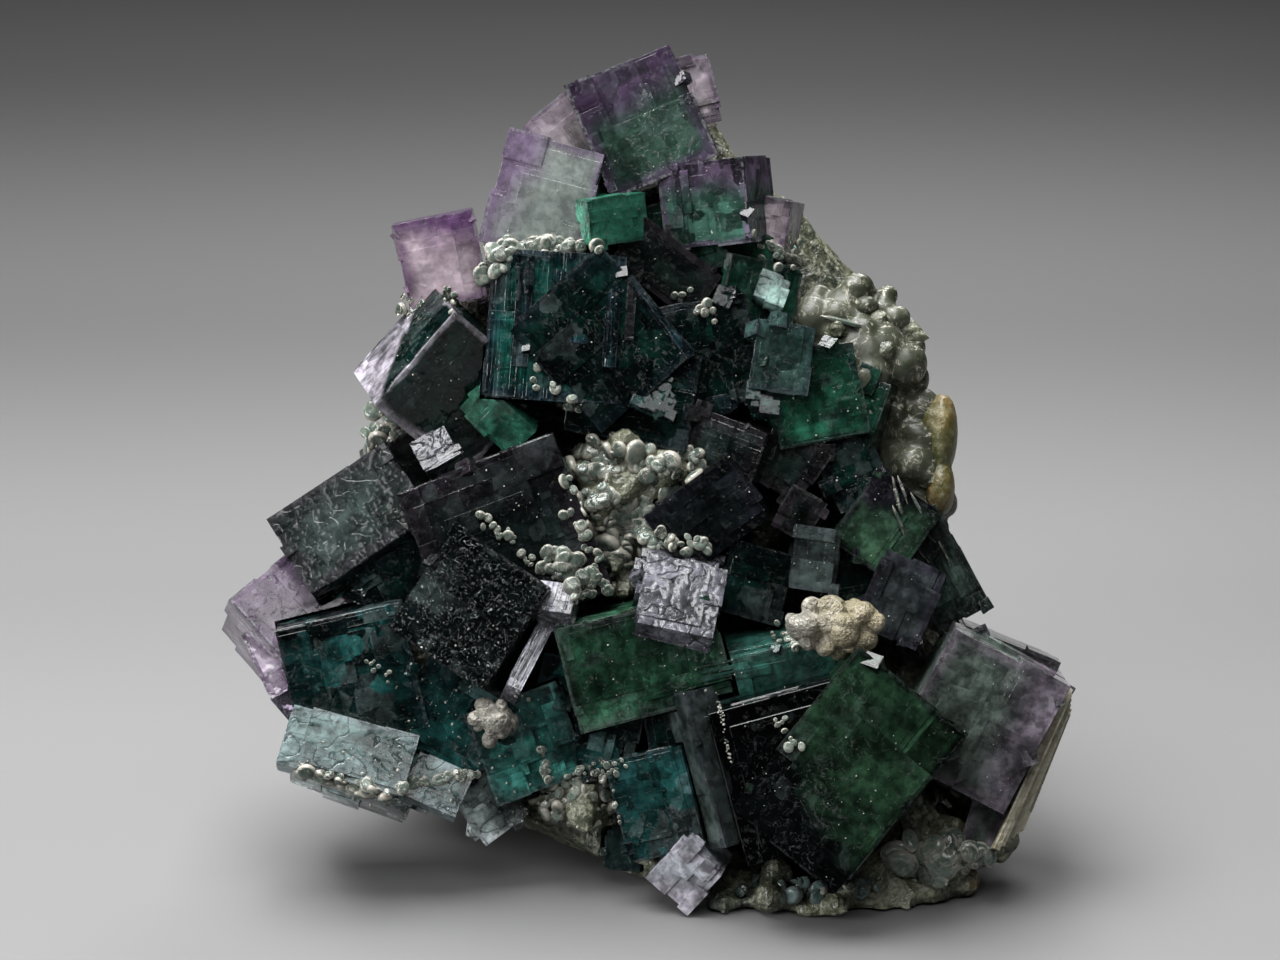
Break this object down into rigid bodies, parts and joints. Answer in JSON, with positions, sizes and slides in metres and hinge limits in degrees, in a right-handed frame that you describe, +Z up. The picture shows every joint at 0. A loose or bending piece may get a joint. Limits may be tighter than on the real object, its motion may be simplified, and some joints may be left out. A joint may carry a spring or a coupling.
{
  "type": "fluorite on quartz mineral specimen",
  "caption": "Cabinet mineral specimen: intergrown violet and green fluorite cubes on a quartz matrix with druses, cut flat under its foot so that it stands.",
  "frame": {"origin": "on the flat cut under the foot, below the middle of the specimen's bounding box", "axes": "+Z up, the crystal face looks towards -Y and leans back, +X to the viewer's right"},
  "size_m": [0.1124, 0.077, 0.1024],
  "materials": {
    "fluorite_violet": "clear violet over green, glossy cube faces",
    "fluorite_green": "deep blue-green with violet-brown rims, glossy cube faces",
    "quartz_white": "milky, glittering points",
    "quartz": "grey translucent druse over rough rock, ochre stain at the right"
  },
  "bodies": {
    "root": {"fluorite_crown": "fluorite_violet", "fluorite_upper_left_cube": "fluorite_violet", "fluorite_heart": "fluorite_green", "fluorite_shoulder": "fluorite_green", "fluorite_lower_left": "fluorite_green", "fluorite_far_left_cube": "fluorite_violet", "fluorite_lower_middle": "fluorite_green", "fluorite_centre": "fluorite_green", "fluorite_lower_right": "fluorite_green", "quartz_tuft_right": "quartz_white", "quartz_tuft_left": "quartz_white", "quartz_matrix": "quartz"}
  },
  "joints": []
}
